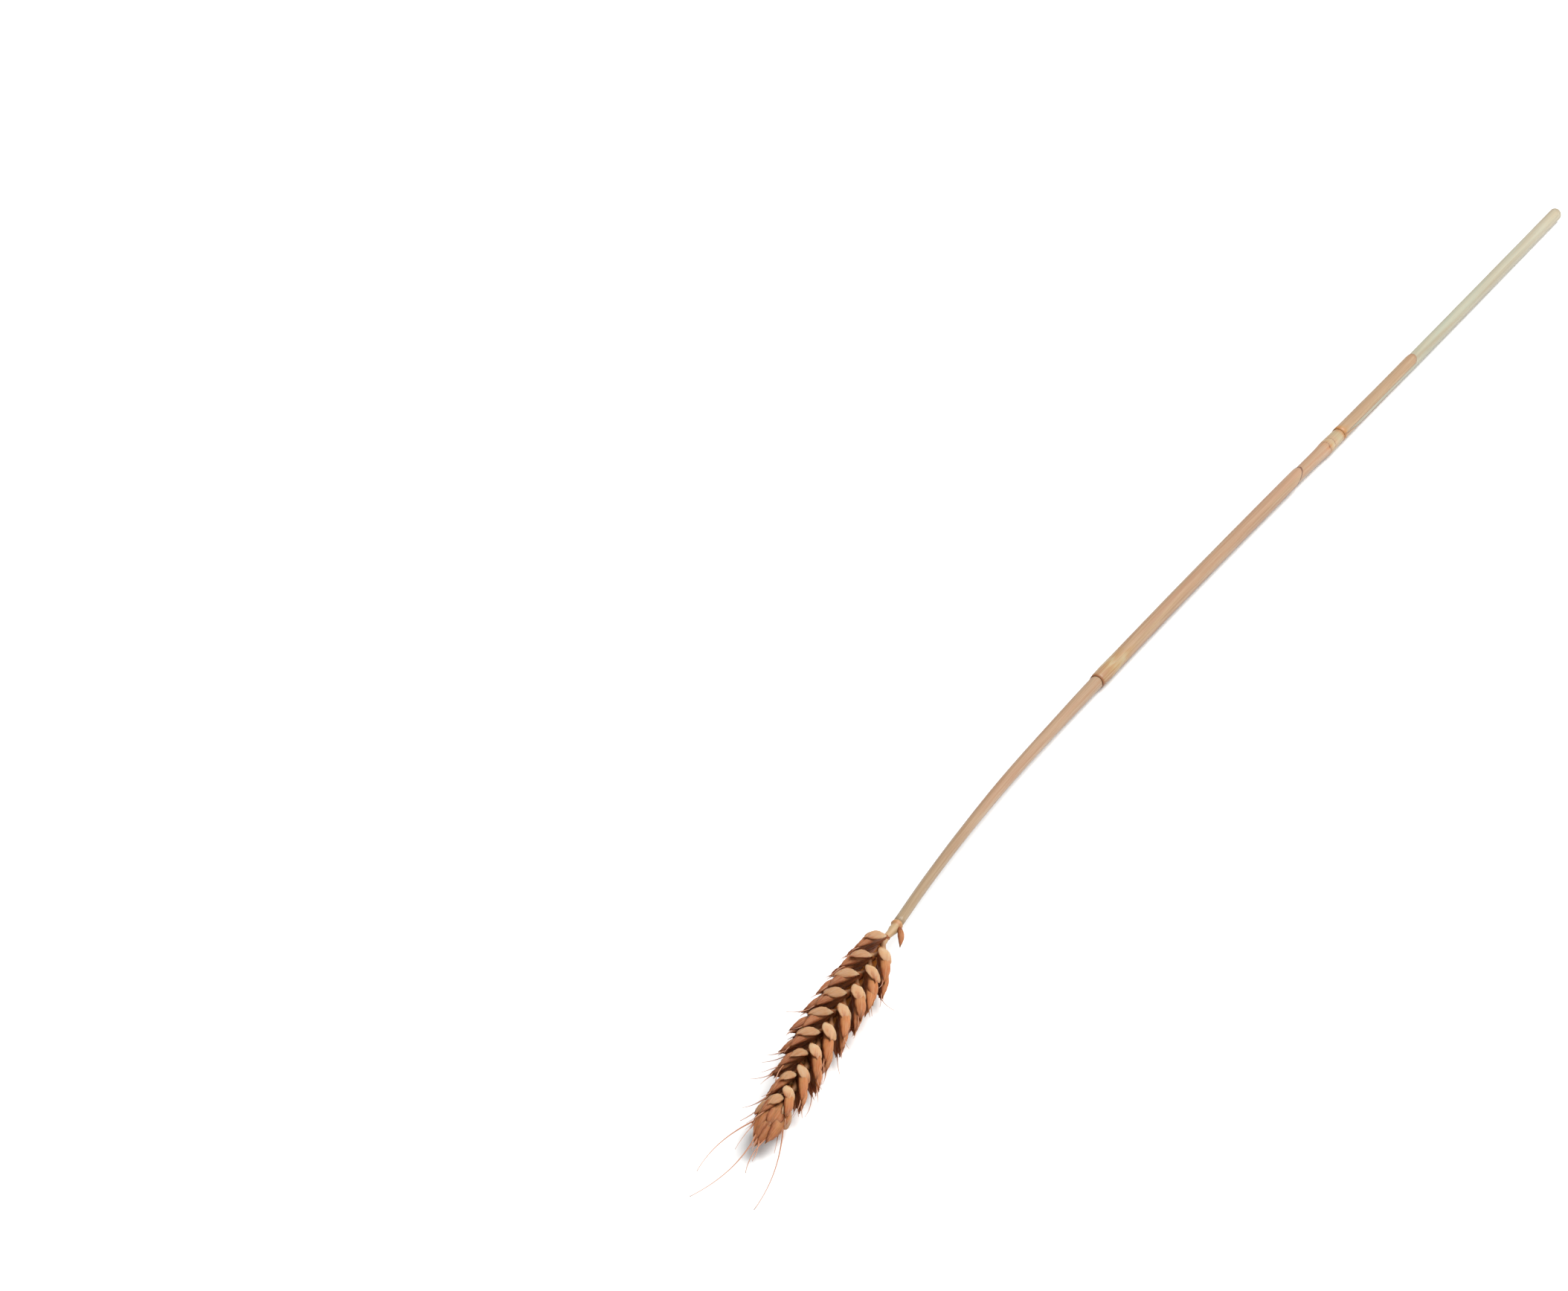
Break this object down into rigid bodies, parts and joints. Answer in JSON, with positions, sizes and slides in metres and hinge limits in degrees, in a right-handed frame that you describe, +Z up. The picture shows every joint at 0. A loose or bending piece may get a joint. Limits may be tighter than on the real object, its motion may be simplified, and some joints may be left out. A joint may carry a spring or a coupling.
{
  "type": "dried wheat ear on its stalk",
  "caption": "Dried ripe wheat ear on its cut straw with leaf sheaths, lying on its side on a flat surface.",
  "frame": {"origin": "middle of the object's box in X and Y, at the height of the surface that it lies on", "axes": "+X along the straw towards its cut end, with the ear at -X; +Z up, away from the surface"},
  "size_m": [0.674, 0.0352, 0.0145],
  "materials": {
    "husk": "matte",
    "straw": "satin",
    "flag_sheath": "satin",
    "second_sheath": "satin"
  },
  "bodies": {
    "root": {"ear": "husk", "stalk": "straw", "flag_leaf_sheath": "flag_sheath", "second_leaf_sheath": "second_sheath"}
  },
  "joints": []
}
